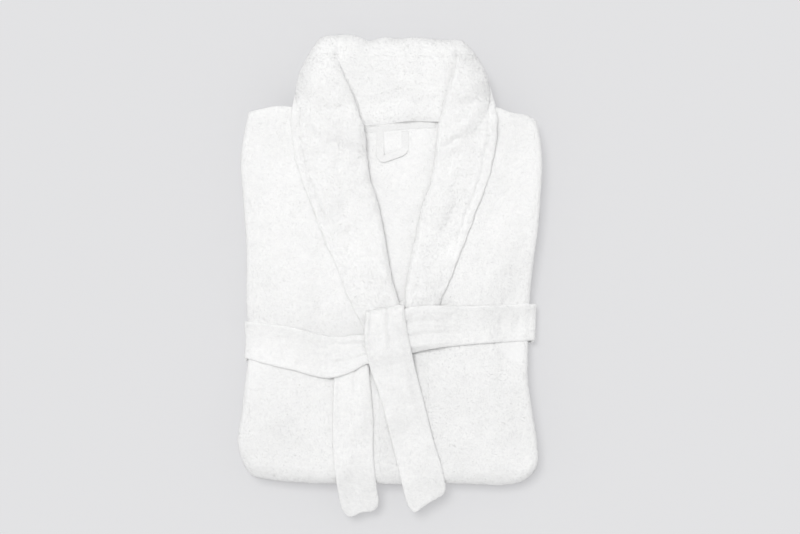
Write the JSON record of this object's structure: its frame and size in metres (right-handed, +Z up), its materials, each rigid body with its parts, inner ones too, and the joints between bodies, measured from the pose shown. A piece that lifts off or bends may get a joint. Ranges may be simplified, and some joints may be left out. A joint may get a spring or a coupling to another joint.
{
  "type": "folded bathrobe",
  "caption": "White terry shawl-collar bathrobe, folded flat into a bundle and tied round with its own belt.",
  "frame": {"origin": "under the middle of the whole tied bundle, on the surface it rests on", "axes": "+X towards the wearer's left side, +Y towards the collar, +Z up out of the surface the robe lies on, face up"},
  "size_m": [0.4124, 0.652, 0.0713],
  "materials": {
    "robe_terry": "white looped cotton terry, soft and matt",
    "belt_terry": "white looped cotton terry, doubled and pressed flat",
    "seam_tape": "white cotton twill tape, matt"
  },
  "bodies": {
    "bundle": {"back_panel": "robe_terry", "right_front_panel": "robe_terry", "left_front_panel": "robe_terry", "right_front_band": "robe_terry", "left_front_band": "robe_terry", "back_collar": "robe_terry", "neck_tape": "seam_tape", "right_sleeve": "robe_terry", "left_sleeve": "robe_terry", "right_cuff": "robe_terry", "left_cuff": "robe_terry", "right_pocket": "robe_terry", "left_pocket": "robe_terry", "right_belt_loop": "belt_terry", "left_belt_loop": "belt_terry", "belt_wrap": "belt_terry", "belt_knot": "belt_terry"},
    "front_tail": {"belt_front_tail": "belt_terry"},
    "rear_tail": {"belt_rear_tail": "belt_terry"},
    "neck_loop": {"hanger_loop": "seam_tape"},
    "lapel_right": {"right_lapel": "robe_terry"},
    "lapel_left": {"left_lapel": "robe_terry"}
  },
  "joints": [
    {"name": "front_tail_lift", "type": "hinge", "parent": "bundle", "child": "front_tail", "pos_m": [0.0005, -0.1223, 0.0645], "axis": [-1, 0, 0], "range_deg": [0, 90]},
    {"name": "rear_tail_lift", "type": "hinge", "parent": "bundle", "child": "rear_tail", "pos_m": [-0.053, -0.141, 0.0583], "axis": [-1, 0, 0], "range_deg": [0, 90]},
    {"name": "neck_loop_swing", "type": "hinge", "parent": "bundle", "child": "neck_loop", "pos_m": [0.0015, 0.1994, 0.0487], "axis": [-1, 0, 0], "range_deg": [0, 150]},
    {"name": "right_lapel_turn", "type": "hinge", "parent": "bundle", "child": "lapel_right", "pos_m": [0.00536, 0.014, 0.0583], "axis": [-0.2184, 0.9759, 0], "range_deg": [0, 60]},
    {"name": "left_lapel_turn", "type": "hinge", "parent": "bundle", "child": "lapel_left", "pos_m": [0.02759, 0.014, 0.0583], "axis": [-0.1995, -0.9799, 0], "range_deg": [0, 60]}
  ]
}
